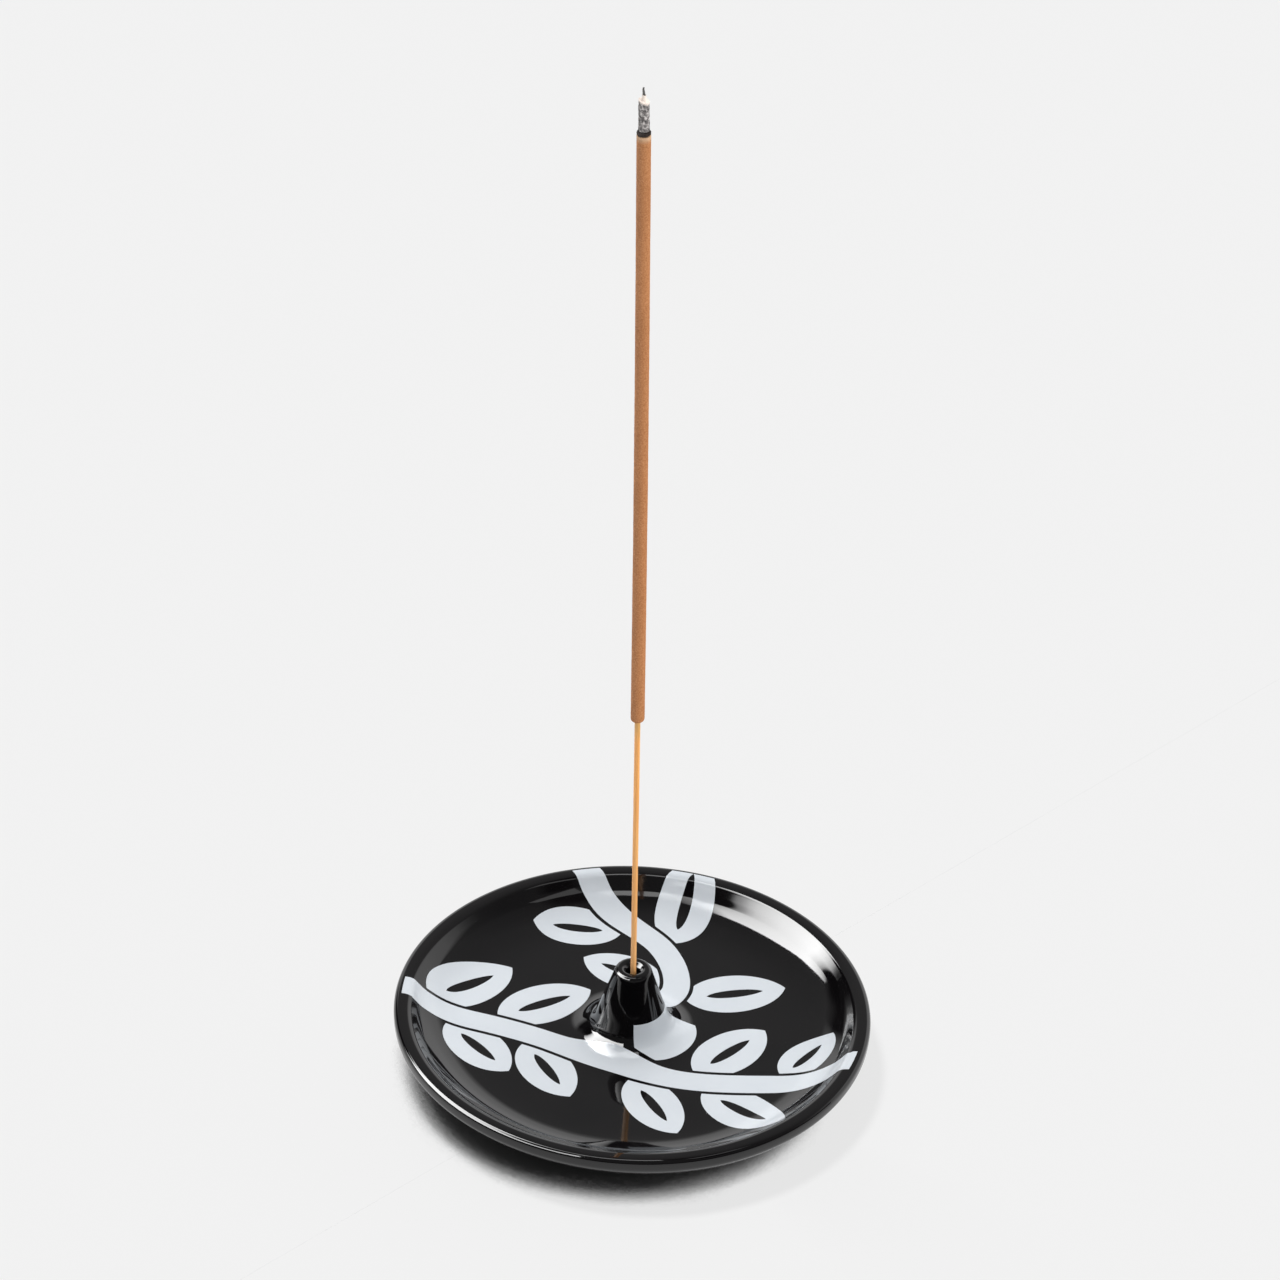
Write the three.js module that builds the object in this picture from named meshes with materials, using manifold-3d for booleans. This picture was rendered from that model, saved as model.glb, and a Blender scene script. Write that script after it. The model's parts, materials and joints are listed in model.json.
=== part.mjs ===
// Incense burner: a black glazed ceramic dish with a central cone, and a stick of incense standing in it.
// Millimetres, +Z up. The origin is the centre of the foot ring's lower face, where the dish rests.
import * as THREE from 'three'
import { mergeVertices } from 'three/addons/utils/BufferGeometryUtils.js'
import Module from 'manifold-3d'

// Dish: driving dimensions
const RIM_RADIUS = 55
const RIM_HEIGHT = 13.6
const FLOOR_HEIGHT = 6.5
const WALL = 3.8
const LIP_RADIUS = 2.35
const LIP_EDGE_RADIUS = 1.4
const COVE_RADIUS = 15.25
const FOOT_OUTER_RADIUS = 37
const FOOT_INNER_RADIUS = 33
const FOOT_CHAMFER = 0.7
const TURN_SEGMENTS = 72

// Central cone, which is part of the dish
const CONE_TOP_HEIGHT = 25.7
const CONE_HALF_ANGLE = THREE.MathUtils.degToRad(17.5)
const CONE_LIP_RADIUS = 1.3
const CONE_LIP_CENTRE_RADIUS = 3.05
const CONE_FILLET_RADIUS = 8
const BORE_RADIUS = 1.45
const BORE_DEPTH = 13.3
const BORE_MOUTH_DEPTH = 1.1

// White transfer film
const FILM_GAP = 0.12
const FILM_THICKNESS = 0.18
const FILM_OUTER_RADIUS = 53.4
const FILM_INNER_RADIUS = 7.5
const FRONT_STEM_WIDTH = 6.2
const BACK_STEM_WIDTH = 6.2
const LEAF_FULLNESS = 0.56
const VEIN_FULLNESS = 0.2
const VEIN_START = 0.22
const VEIN_END = 0.78
const STEM_CLEARANCE = 0.9
const STEM_STEPS = 24

// Stick of incense, measured along its own axis from the lower end of the bamboo
const STICK_LEAN = THREE.MathUtils.degToRad(1.263)
const STICK_INSERTION = 13
const STICK_CROSSING_DEPTH = 7.5
const CORE_RADIUS = 0.65
const PASTE_RADIUS = 1.58
const PASTE_START = 83.8
const EMBER_START = 240.1
const ASH_START = 241
const ASH_END = 248.4
const ASH_RADIUS = 1.22
const ASH_TOP_SLOPE = -0.32
const TIP_END = 251.6
const TIP_RADIUS = 0.32
const ROD_CHAMFER = 0.1
const EMBER_CHAMFER = 0.2
const PASTE_LIP = 0.15
const FACE_GAP = 0.3
const SLEEVE_GAP = 0.15
const STICK_SEGMENTS = 16

const GLAZE = { color: 0x1c1a1c, roughness: 0.08, metalness: 0 }
const FILM = { color: 0xe3e9ee, roughness: 0.2, metalness: 0 }
const BAMBOO = { color: 0xe6b67d, roughness: 0.6, metalness: 0 }
const PASTE = { color: 0xb07c52, roughness: 0.9, metalness: 0 }
const EMBER = { color: 0x3c3532, roughness: 0.95, metalness: 0 }
const ASH = { color: 0x8b8987, roughness: 0.95, metalness: 0 }
const CHAR = { color: 0x3a3836, roughness: 0.9, metalness: 0 }

const wasm = await Module()
wasm.setup()

// Points on an arc, from one angle to the other, both ends included
function arc(centreR, centreZ, radius, from, to, steps) {
  return Array.from({ length: steps + 1 }, (_, i) => {
    const angle = from + (to - from) * i / steps
    return new THREE.Vector2(centreR + radius * Math.cos(angle), centreZ + radius * Math.sin(angle))
  })
}

// A profile of (radius, height) points turned about +Z
function turned(profile, segments) {
  return new THREE.LatheGeometry(profile, segments).rotateX(Math.PI / 2)
}

function toSolid(geometry) {
  const bare = geometry.clone()
  bare.deleteAttribute('normal')
  bare.deleteAttribute('uv')
  const merged = mergeVertices(bare, 1e-4)
  const vertProperties = new Float32Array(merged.attributes.position.array)
  const triVerts = new Uint32Array(merged.index.array)
  return new wasm.Manifold(new wasm.Mesh({ numProp: 3, vertProperties, triVerts }))
}

function toGeometry(solid) {
  const mesh = solid.getMesh()
  const geometry = new THREE.BufferGeometry()
  geometry.setAttribute('position', new THREE.BufferAttribute(new Float32Array(mesh.vertProperties), 3))
  geometry.setIndex(new THREE.BufferAttribute(new Uint32Array(mesh.triVerts), 1))
  return geometry
}

function named(name, geometry, finish) {
  const mesh = new THREE.Mesh(geometry, new THREE.MeshStandardMaterial(finish))
  mesh.name = name
  return mesh
}

// Where the lip's round inside and underside are centred, its tighter outer edge, and the cove inside it,
// which turns through its angle to meet the lip
const lipCentreR = RIM_RADIUS - LIP_RADIUS
const lipCentreZ = RIM_HEIGHT - LIP_RADIUS
const edgeCentreR = RIM_RADIUS - LIP_EDGE_RADIUS
const edgeCentreZ = RIM_HEIGHT - LIP_EDGE_RADIUS
const coveCentreZ = FLOOR_HEIGHT + COVE_RADIUS
const coveAngle = Math.acos((coveCentreZ - lipCentreZ) / (COVE_RADIUS + LIP_RADIUS))
const coveCentreR = lipCentreR - (COVE_RADIUS + LIP_RADIUS) * Math.sin(coveAngle)

// The wall's outer curve, which runs from the underside into the outside of the lip
const outerRadius = COVE_RADIUS + WALL
const outerAngle = Math.acos((coveCentreZ - lipCentreZ) / (outerRadius - LIP_RADIUS))
const outerCentreR = lipCentreR - (outerRadius - LIP_RADIUS) * Math.sin(outerAngle)

// Where the cone's straight side runs, and the fillet that joins it to the floor
const coneLipZ = CONE_TOP_HEIGHT - CONE_LIP_RADIUS
const sideR = CONE_LIP_CENTRE_RADIUS + CONE_LIP_RADIUS * Math.cos(CONE_HALF_ANGLE)
const sideZ = coneLipZ + CONE_LIP_RADIUS * Math.sin(CONE_HALF_ANGLE)
const filletCentreZ = FLOOR_HEIGHT + CONE_FILLET_RADIUS
const filletCentreR = sideR + CONE_FILLET_RADIUS / Math.cos(CONE_HALF_ANGLE) +
  (sideZ - filletCentreZ) * Math.tan(CONE_HALF_ANGLE)

// The inside of the cove, from the lip down to the floor, moved off the glaze by a distance
function coveFace(offset, angle, steps) {
  const down = -Math.PI / 2
  return arc(coveCentreR, coveCentreZ, COVE_RADIUS - offset, down + angle, down, steps)
}

// The top of the lip, from the film's outer edge in to the cove, moved off the glaze by a distance
function lipFace(offset) {
  const edge = new THREE.Vector2(FILM_OUTER_RADIUS, RIM_HEIGHT + offset)
  return [edge, ...arc(lipCentreR, lipCentreZ, LIP_RADIUS + offset, Math.PI / 2, Math.PI / 2 + coveAngle, 4)]
}

// The fillet from the floor up to the cone's straight side, moved off the glaze by a distance
function filletFace(offset, steps) {
  const coneEnd = -Math.PI + CONE_HALF_ANGLE
  return arc(filletCentreR, filletCentreZ, CONE_FILLET_RADIUS - offset, -Math.PI / 2, coneEnd, steps)
}

function dish() {
  const down = -Math.PI / 2
  const underside = FLOOR_HEIGHT - WALL
  const profile = [
    new THREE.Vector2(0, underside),
    new THREE.Vector2(FOOT_INNER_RADIUS - FOOT_CHAMFER, underside),
    new THREE.Vector2(FOOT_INNER_RADIUS, FOOT_CHAMFER),
    new THREE.Vector2(FOOT_INNER_RADIUS + FOOT_CHAMFER, 0),
    new THREE.Vector2(FOOT_OUTER_RADIUS - FOOT_CHAMFER, 0),
    new THREE.Vector2(FOOT_OUTER_RADIUS, FOOT_CHAMFER),
    new THREE.Vector2(FOOT_OUTER_RADIUS + FOOT_CHAMFER, underside),
    ...arc(outerCentreR, coveCentreZ, outerRadius, down, down + outerAngle, 6),
    ...arc(lipCentreR, lipCentreZ, LIP_RADIUS, down + outerAngle, 0, 3).slice(1),
    ...arc(edgeCentreR, edgeCentreZ, LIP_EDGE_RADIUS, 0, -down, 4),
    ...arc(lipCentreR, lipCentreZ, LIP_RADIUS, -down, coveAngle - down, 5),
    ...coveFace(0, coveAngle, 8).slice(1),
    ...filletFace(0, 7),
    ...arc(CONE_LIP_CENTRE_RADIUS, coneLipZ, CONE_LIP_RADIUS, CONE_HALF_ANGLE, Math.PI * 0.8, 5),
    new THREE.Vector2(BORE_RADIUS, CONE_TOP_HEIGHT - BORE_MOUTH_DEPTH),
    new THREE.Vector2(BORE_RADIUS, CONE_TOP_HEIGHT - BORE_DEPTH),
    new THREE.Vector2(0, CONE_TOP_HEIGHT - BORE_DEPTH),
  ]
  return named('dish', turned(profile, TURN_SEGMENTS), GLAZE)
}

// One face of the film layer, from its outer edge on the lip to its inner edge on the cone
function filmFace(offset) {
  const fillet = filletFace(offset, 7)
  const foot = fillet.at(-1)
  const edgeR = FILM_INNER_RADIUS + offset * Math.cos(CONE_HALF_ANGLE)
  const edgeZ = foot.y + (foot.x - edgeR) / Math.tan(CONE_HALF_ANGLE)
  const cove = coveFace(offset, coveAngle, 7).slice(1)
  return [...lipFace(offset), ...cove, ...fillet, new THREE.Vector2(edgeR, edgeZ)]
}

// The thin layer just above the glaze that every film shape is cut from
function filmLayer() {
  const under = filmFace(FILM_GAP)
  const over = filmFace(FILM_GAP + FILM_THICKNESS)
  return toSolid(turned([...over, ...under.reverse(), over[0].clone()], TURN_SEGMENTS))
}

// A flat outline as a solid tall enough to cut the whole film layer
function prism(shape) {
  return toSolid(new THREE.ExtrudeGeometry(shape, {
    depth: CONE_TOP_HEIGHT,
    bevelEnabled: false,
    curveSegments: 7,
  }))
}

// A stroke of even width along a curve
function strokeShape(curve, width) {
  const left = []
  const right = []
  for (let i = 0; i <= STEM_STEPS; i += 1) {
    const point = curve.getPoint(i / STEM_STEPS)
    const along = curve.getTangent(i / STEM_STEPS)
    const side = new THREE.Vector2(-along.y, along.x).multiplyScalar(width / 2)
    left.push(point.clone().add(side))
    right.push(point.clone().sub(side))
  }
  return new THREE.Shape([...right, ...left.reverse()])
}

// A leaf with its base at a point, aimed along an angle, with a lens-shaped gap for its vein.
// Its width is a fixed share of its length.
function leafShape(base, aim, length, veined) {
  const at = (along, across) => {
    return new THREE.Vector2(along, across).rotateAround(new THREE.Vector2(), aim).add(base)
  }
  const lens = (path, from, to, fullness) => {
    const size = to - from
    const bulge = size * fullness * 2 / 3
    const near = from + size * 0.12
    const far = from + size * 0.8
    const ends = [at(from, 0), at(to, 0)]
    const lower = [at(near, -bulge), at(far, -bulge)]
    const upper = [at(far, bulge), at(near, bulge)]
    path.moveTo(ends[0].x, ends[0].y)
    path.bezierCurveTo(lower[0].x, lower[0].y, lower[1].x, lower[1].y, ends[1].x, ends[1].y)
    path.bezierCurveTo(upper[0].x, upper[0].y, upper[1].x, upper[1].y, ends[0].x, ends[0].y)
    return path
  }
  const shape = lens(new THREE.Shape(), 0, length, LEAF_FULLNESS)
  if (veined) shape.holes.push(lens(new THREE.Path(), length * VEIN_START, length * VEIN_END, VEIN_FULLNESS))
  return shape
}

// Each leaf: where along its stem, which side of it, its angle off the stem in degrees, its length,
// and whether it has a vein. The leaf that climbs the cone has none.
const FRONT_LEAVES = [
  [0.1, 1, 46, 24, true], [0.15, -1, 36, 22, true], [0.24, 1, 46, 24, true],
  [0.32, -1, 38, 22, true], [0.56, -1, 40, 22, true], [0.55, 1, 66, 19, false],
  [0.68, 1, 52, 23, true], [0.7, -1, 32, 23, true], [0.84, 1, 46, 18, true],
]
const BACK_LEAVES = [
  [0.2, -1, 52, 24, true], [0.26, 1, 68, 21, true], [0.5, -1, 46, 24, true], [0.63, 1, 38, 21, true],
]

// A stem and its leaves, with an even gap between them
function sprig(name, layer, points, width, leaves, firstLeaf) {
  const stem = new THREE.SplineCurve(points.map(([x, y]) => new THREE.Vector2(x, y)))
  const stemPiece = layer.intersect(prism(strokeShape(stem, width)))
  const keptClear = prism(strokeShape(stem, width + 2 * STEM_CLEARANCE))
  const pieces = [named(name, toGeometry(stemPiece), FILM)]
  leaves.forEach(([place, side, angle, length, veined], i) => {
    const along = stem.getTangent(place)
    const across = new THREE.Vector2(-along.y, along.x).multiplyScalar(side)
    const base = stem.getPoint(place).addScaledVector(across, width / 2)
    const aim = along.angle() + side * THREE.MathUtils.degToRad(angle)
    const outline = prism(leafShape(base, aim, length, veined))
    const leaf = layer.intersect(outline.subtract(keptClear))
    const number = String(firstLeaf + i).padStart(2, '0')
    pieces.push(named(`decal_leaf_${number}`, toGeometry(leaf), FILM))
  })
  return pieces
}

function decal() {
  const layer = filmLayer()
  const front = [[-58, 6], [-40, 3], [-22, -3], [-5, -11.5], [13, -17], [34, -17], [58, -15]]
  const back = [[3, 6], [10, 17], [6, 32], [-8, 46], [-16, 58]]
  return [
    ...sprig('decal_stem_front', layer, front, FRONT_STEM_WIDTH, FRONT_LEAVES, 1),
    ...sprig('decal_stem_back', layer, back, BACK_STEM_WIDTH, BACK_LEAVES, FRONT_LEAVES.length + 1),
  ]
}

// A sleeve, rod or ring turned about the stick's own axis
function stickPiece(name, profile, finish) {
  return named(name, turned(profile.map(([r, z]) => new THREE.Vector2(r, z)), STICK_SEGMENTS), finish)
}

function rod(name, radius, from, to, finish) {
  const shoulder = [[radius, to - ROD_CHAMFER], [radius - ROD_CHAMFER, to]]
  return stickPiece(name, [[0, from], [radius, from], ...shoulder, [0, to]], finish)
}

// The paste's lower end is rounded, with a narrow flat lip round the bamboo
function pasteSleeve() {
  const bore = CORE_RADIUS + SLEEVE_GAP
  const end = EMBER_START - FACE_GAP
  const shoulder = PASTE_RADIUS - bore - PASTE_LIP
  const rounded = arc(PASTE_RADIUS - shoulder, PASTE_START + shoulder, shoulder, -Math.PI / 2, 0, 4)
  const profile = rounded.map(({ x, y }) => [x, y])
  profile.push([PASTE_RADIUS, end], [bore, end], [bore, PASTE_START], profile[0])
  return stickPiece('incense_paste', profile, PASTE)
}

function emberBand() {
  const bore = CORE_RADIUS + SLEEVE_GAP
  const end = ASH_START - FACE_GAP
  const profile = [
    [bore, EMBER_START], [PASTE_RADIUS, EMBER_START], [PASTE_RADIUS, end - EMBER_CHAMFER],
    [PASTE_RADIUS - EMBER_CHAMFER, end], [bore, end], [bore, EMBER_START],
  ]
  return stickPiece('ember_band', profile, EMBER)
}

// The ash is a little waisted, and its top slopes down towards +X
function ashColumn() {
  const bore = TIP_RADIUS + SLEEVE_GAP
  const profile = [
    [bore, ASH_START], [ASH_RADIUS, ASH_START], [ASH_RADIUS * 0.94, ASH_START + 3],
    [ASH_RADIUS, ASH_END], [bore, ASH_END], [bore, ASH_START],
  ]
  const mesh = stickPiece('ash_column', profile, ASH)
  const position = mesh.geometry.attributes.position
  for (let i = 0; i < position.count; i += 1) {
    if (position.getZ(i) > ASH_END - 1) position.setZ(i, ASH_END + ASH_TOP_SLOPE * position.getX(i))
  }
  return mesh
}

function stick() {
  const group = new THREE.Group()
  group.add(
    rod('bamboo_core', CORE_RADIUS, 0, ASH_START - 2 * FACE_GAP, BAMBOO),
    rod('charred_core_tip', TIP_RADIUS, ASH_START - FACE_GAP, TIP_END, CHAR),
    pasteSleeve(),
    emberBand(),
    ashColumn(),
  )
  const crossing = STICK_INSERTION - STICK_CROSSING_DEPTH
  group.rotation.y = -STICK_LEAN
  group.position.set(crossing * Math.sin(STICK_LEAN), 0,
    CONE_TOP_HEIGHT - STICK_CROSSING_DEPTH - crossing * Math.cos(STICK_LEAN))
  return group
}

const burner = new THREE.Group()
burner.add(dish(), ...decal(), stick())

export default burner
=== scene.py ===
import json
import math

import bpy
import numpy as np
from mathutils import Matrix, Vector, noise
from mathutils.geometry import delaunay_2d_cdt


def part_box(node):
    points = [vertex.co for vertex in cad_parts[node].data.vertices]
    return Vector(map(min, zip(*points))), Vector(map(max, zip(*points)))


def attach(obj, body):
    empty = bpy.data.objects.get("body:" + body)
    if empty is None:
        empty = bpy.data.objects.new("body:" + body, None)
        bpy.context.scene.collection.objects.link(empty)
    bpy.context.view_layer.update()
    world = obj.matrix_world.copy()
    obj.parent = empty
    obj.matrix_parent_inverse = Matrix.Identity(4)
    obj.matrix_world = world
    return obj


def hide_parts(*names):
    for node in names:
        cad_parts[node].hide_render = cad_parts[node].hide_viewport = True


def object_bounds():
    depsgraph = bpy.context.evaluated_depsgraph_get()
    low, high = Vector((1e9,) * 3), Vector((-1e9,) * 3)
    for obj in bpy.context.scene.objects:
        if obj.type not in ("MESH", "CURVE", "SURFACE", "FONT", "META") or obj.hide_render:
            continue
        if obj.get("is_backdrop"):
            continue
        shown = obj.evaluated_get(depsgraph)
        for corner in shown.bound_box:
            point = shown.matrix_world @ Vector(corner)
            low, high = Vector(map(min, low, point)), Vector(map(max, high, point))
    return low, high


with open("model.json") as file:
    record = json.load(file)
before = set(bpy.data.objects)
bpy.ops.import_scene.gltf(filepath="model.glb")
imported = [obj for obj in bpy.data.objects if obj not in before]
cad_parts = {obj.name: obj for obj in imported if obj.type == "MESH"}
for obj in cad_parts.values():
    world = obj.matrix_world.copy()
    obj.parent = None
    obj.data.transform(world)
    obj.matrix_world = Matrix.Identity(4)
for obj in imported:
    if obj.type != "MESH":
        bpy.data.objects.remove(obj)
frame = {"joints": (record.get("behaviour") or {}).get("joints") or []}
CAD_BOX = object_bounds()
MM = 0.001

# ---------------------------------------------------------------- sizes, in mm, the same as the frame's
RIM_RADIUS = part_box("dish")[1].x / MM
CONE_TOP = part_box("dish")[1].z / MM
RIM_HEIGHT = 13.6
FLOOR = 6.5
WALL = 3.8
LIP_RADIUS = 2.35
LIP_EDGE_RADIUS = 1.4
COVE_RADIUS = 15.25
FOOT_OUTER = 37.0
FOOT_INNER = 33.0
FOOT_EDGE = 0.7
CONE_HALF_ANGLE = math.radians(17.5)
CONE_LIP_RADIUS = 1.3
CONE_LIP_CENTRE = 3.05
FILLET_RADIUS = 8.0
BORE_RADIUS = 1.45
BORE_DEPTH = 13.3
BORE_MOUTH_DEPTH = 1.1
PROFILE_STEP = 0.15
PROFILE_PASSES = 240
BED_START = 10.0
BED_EDGE_MARGIN = 2.4
TURN_SEGMENTS = 240

FILM_OUTER = 53.4
FILM_INNER = 7.5
FILM_PROUD = 0.06
STEM_WIDTH = 6.2
STEM_CLEARANCE = 0.9
LEAF_FULLNESS = 0.56
LENS_NEAR = 0.12
LENS_FAR = 0.8
VEIN_FULLNESS = 0.2
VEIN_START = 0.22
VEIN_END = 0.78
NET_PITCH = 1.1
CONE_NET_END = 13.0
RING_STEP = 0.35

STICK_INSERTION = 13.0
STICK_BOW = 0.32
ASH_SLOPE = 0.32
ASH_SHEATH = 1.5
CORE_CLEARANCE = 0.06
BORE_TOLERANCE = 0.02

# ---------------------------------------------------------------- places worked out from the sizes, in mm
lip_r = RIM_RADIUS - LIP_RADIUS
lip_z = RIM_HEIGHT - LIP_RADIUS
cove_z = FLOOR + COVE_RADIUS
cove_angle = math.acos((cove_z - lip_z) / (COVE_RADIUS + LIP_RADIUS))
cove_r = lip_r - (COVE_RADIUS + LIP_RADIUS) * math.sin(cove_angle)
cove_end = cove_r + COVE_RADIUS * math.sin(cove_angle)
outer_radius = COVE_RADIUS + WALL
outer_angle = math.acos((cove_z - lip_z) / (outer_radius - LIP_RADIUS))
outer_r = lip_r - (outer_radius - LIP_RADIUS) * math.sin(outer_angle)
cone_lip_z = CONE_TOP - CONE_LIP_RADIUS
fillet_z = FLOOR + FILLET_RADIUS
fillet_r = (CONE_LIP_CENTRE + CONE_LIP_RADIUS * math.cos(CONE_HALF_ANGLE)
            + FILLET_RADIUS / math.cos(CONE_HALF_ANGLE)
            + (cone_lip_z + CONE_LIP_RADIUS * math.sin(CONE_HALF_ANGLE) - fillet_z)
            * math.tan(CONE_HALF_ANGLE))


# ---------------------------------------------------------------- profiles
def arc(centre_r, centre_z, radius, start, end, steps=40):
    angles = np.linspace(start, end, steps + 1)
    return np.stack([centre_r + radius * np.cos(angles), centre_z + radius * np.sin(angles)], 1)


def spaced(points, step):
    """The same line with its points an even distance apart."""
    lengths = np.concatenate([[0], np.cumsum(np.linalg.norm(np.diff(points, axis=0), axis=1))])
    places = np.linspace(0, lengths[-1], int(lengths[-1] / step) + 1)
    return np.stack([np.interp(places, lengths, points[:, k]) for k in range(2)], 1)


def softened(points, rate, passes):
    """The line relaxed a little at a time, each point by its own rate, with both ends kept."""
    line = points.copy()
    for _ in range(passes):
        middle = (line[:-2] + line[2:]) / 2
        line[1:-1] += rate[1:-1, None] * (middle - line[1:-1])
    return line


def thinned(points, turn, reach):
    """Drops points where the line hardly turns, and keeps one at least every reach mm."""
    kept = [0]
    for i in range(1, len(points) - 1):
        before = points[i] - points[kept[-1]]
        after = points[i + 1] - points[i]
        angle = abs(math.atan2(before[0] * after[1] - before[1] * after[0], float(before @ after)))
        if angle > turn or np.linalg.norm(before) > reach:
            kept.append(i)
    return points[kept + [len(points) - 1]]


def dish_profile():
    """The dish's section as thrown and glazed, with every corner softened, most of all in the bed."""
    down = -math.pi / 2
    under = FLOOR - WALL
    foot = np.array([
        [0, under], [FOOT_INNER - FOOT_EDGE, under], [FOOT_INNER, FOOT_EDGE],
        [FOOT_INNER + FOOT_EDGE, 0], [FOOT_OUTER - FOOT_EDGE, 0], [FOOT_OUTER, FOOT_EDGE],
        [FOOT_OUTER + FOOT_EDGE, under]])
    mouth_z = CONE_TOP - BORE_MOUTH_DEPTH
    bottom_z = CONE_TOP - BORE_DEPTH
    bore = np.array([[BORE_RADIUS, mouth_z], [BORE_RADIUS, bottom_z], [0, bottom_z]])
    line = spaced(np.concatenate([
        foot,
        arc(outer_r, cove_z, outer_radius, down, down + outer_angle),
        arc(lip_r, lip_z, LIP_RADIUS, down + outer_angle, 0),
        arc(RIM_RADIUS - LIP_EDGE_RADIUS, RIM_HEIGHT - LIP_EDGE_RADIUS, LIP_EDGE_RADIUS, 0, -down),
        arc(lip_r, lip_z, LIP_RADIUS, -down, cove_angle - down),
        arc(cove_r, cove_z, COVE_RADIUS, down + cove_angle, down),
        arc(fillet_r, fillet_z, FILLET_RADIUS, down, CONE_HALF_ANGLE - math.pi),
        arc(CONE_LIP_CENTRE, cone_lip_z, CONE_LIP_RADIUS, CONE_HALF_ANGLE, math.pi * 0.8),
        bore]), PROFILE_STEP)
    on_top = np.arange(len(line)) > np.argmax(line[:, 0])
    in_bed = on_top & (line[:, 0] > BED_START) & (line[:, 0] < cove_end - BED_EDGE_MARGIN)
    rate = np.where(in_bed, 0.9, 0.01)
    return softened(line, rate, PROFILE_PASSES)


PROFILE = dish_profile()


def bed_line():
    """The part of the section that the print lies on, from the cone out to the rim."""
    top = PROFILE[np.argmax(PROFILE[:, 0]):]
    low, high = FILM_INNER - 2, FILM_OUTER + 1
    cone_start = np.argmax(top[:, 0] < low)
    line = top[:cone_start]
    return line[line[:, 0] < high][::-1]


BED = bed_line()
BED_SLOPE = np.gradient(BED[:, 1], BED[:, 0])


def warped(points):
    """A hand-finished dish isn't quite true: its rim is oval and wavy, and its cone sits off centre."""
    x, y, z = points[:, 0], points[:, 1], points[:, 2]
    reach = np.clip(np.hypot(x, y) / RIM_RADIUS, 0, 1) ** 4
    angle = np.arctan2(y, x)
    oval = 1 + 0.002 * reach * np.cos(2 * (angle - math.radians(-20)))
    wave = 0.10 * np.sin(2 * angle + 0.6) + 0.05 * np.sin(3 * angle + 2.0) - 0.3 * np.sin(angle)
    dip = 0.55 * np.clip(np.cos(angle + math.radians(52)), 0, 1) ** 4
    shift = 0.15 * np.clip((z - FLOOR) / 10, 0, 1) * (np.hypot(x, y) < 20)
    return np.stack([x * oval - shift, y * oval, z + reach * (wave - dip)], 1)


# ---------------------------------------------------------------- meshes
def new_mesh(name, points, faces, material, smooth_angle=40):
    """A mesh object from points in metres, shaded smooth except at edges sharper than smooth_angle."""
    mesh = bpy.data.meshes.new(name)
    mesh.from_pydata([tuple(p) for p in points], [], [tuple(int(i) for i in f) for f in faces])
    mesh.validate()
    mesh.materials.append(material)
    mesh.shade_smooth()
    mesh.set_sharp_from_angle(angle=math.radians(smooth_angle))
    piece = bpy.data.objects.new(name, mesh)
    bpy.context.scene.collection.objects.link(piece)
    return piece


def ring_faces(rings, segments, looped):
    """Quads between neighbouring rings of points, and between the last and the first when looped."""
    faces = []
    for i in range(rings if looped else rings - 1):
        here, above = i * segments, (i + 1) % rings * segments
        for k in range(segments):
            after = (k + 1) % segments
            faces.append((here + k, here + after, above + after, above + k))
    return faces


def turned(profile, segments):
    """Points and faces of a profile of (radius, height) turned about +Z. It starts and ends on the axis."""
    angles = np.linspace(0, 2 * math.pi, segments, endpoint=False)
    body = profile[1:-1]
    rings = [np.stack([r * np.cos(angles), r * np.sin(angles), np.full(segments, z)], 1) for r, z in body]
    ends = np.array([[0, 0, profile[0, 1]], [0, 0, profile[-1, 1]]])
    faces = ring_faces(len(body), segments, False)
    first, last = len(body) * segments, len(body) * segments + 1
    top = (len(body) - 1) * segments
    for k in range(segments):
        after = (k + 1) % segments
        faces.append((first, after, k))
        faces.append((last, top + k, top + after))
    return np.concatenate(rings + [ends]), faces


# ---------------------------------------------------------------- materials
def material(name):
    made = bpy.data.materials.new(name)
    made.use_nodes = True
    tree = made.node_tree
    tree.nodes.clear()
    shader = tree.nodes.new("ShaderNodeBsdfPrincipled")
    output = tree.nodes.new("ShaderNodeOutputMaterial")
    tree.links.new(shader.outputs["BSDF"], output.inputs["Surface"])
    return made, tree, shader


def place(tree, stretch):
    """Object coordinates times a stretch, so that patterns stay in step with the piece."""
    coordinates = tree.nodes.new("ShaderNodeTexCoord")
    mapping = tree.nodes.new("ShaderNodeMapping")
    mapping.inputs["Scale"].default_value = stretch
    tree.links.new(coordinates.outputs["Object"], mapping.inputs["Vector"])
    return mapping.outputs["Vector"]


def grain(tree, where, scale, detail=4, roughness=0.55):
    """Noise from 0 to 1 with features about 1/scale across."""
    made = tree.nodes.new("ShaderNodeTexNoise")
    made.inputs["Scale"].default_value = scale
    made.inputs["Detail"].default_value = detail
    made.inputs["Roughness"].default_value = roughness
    tree.links.new(where, made.inputs["Vector"])
    return made.outputs["Fac"]


def ramp(tree, value, stops):
    """Colours along a value, from (place, colour) stops."""
    made = tree.nodes.new("ShaderNodeValToRGB")
    elements = made.color_ramp.elements
    while len(elements) < len(stops):
        elements.new(0.5)
    for element, (at, colour) in zip(elements, stops):
        element.position = at
        element.color = (*colour, 1)
    tree.links.new(value, made.inputs["Fac"])
    return made.outputs["Color"]


def span(tree, value, low, high, out_low, out_high):
    """A value moved from one range to another, clamped."""
    made = tree.nodes.new("ShaderNodeMapRange")
    for name, number in (("From Min", low), ("From Max", high), ("To Min", out_low), ("To Max", out_high)):
        made.inputs[name].default_value = number
    tree.links.new(value, made.inputs["Value"])
    return made.outputs["Result"]


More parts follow.
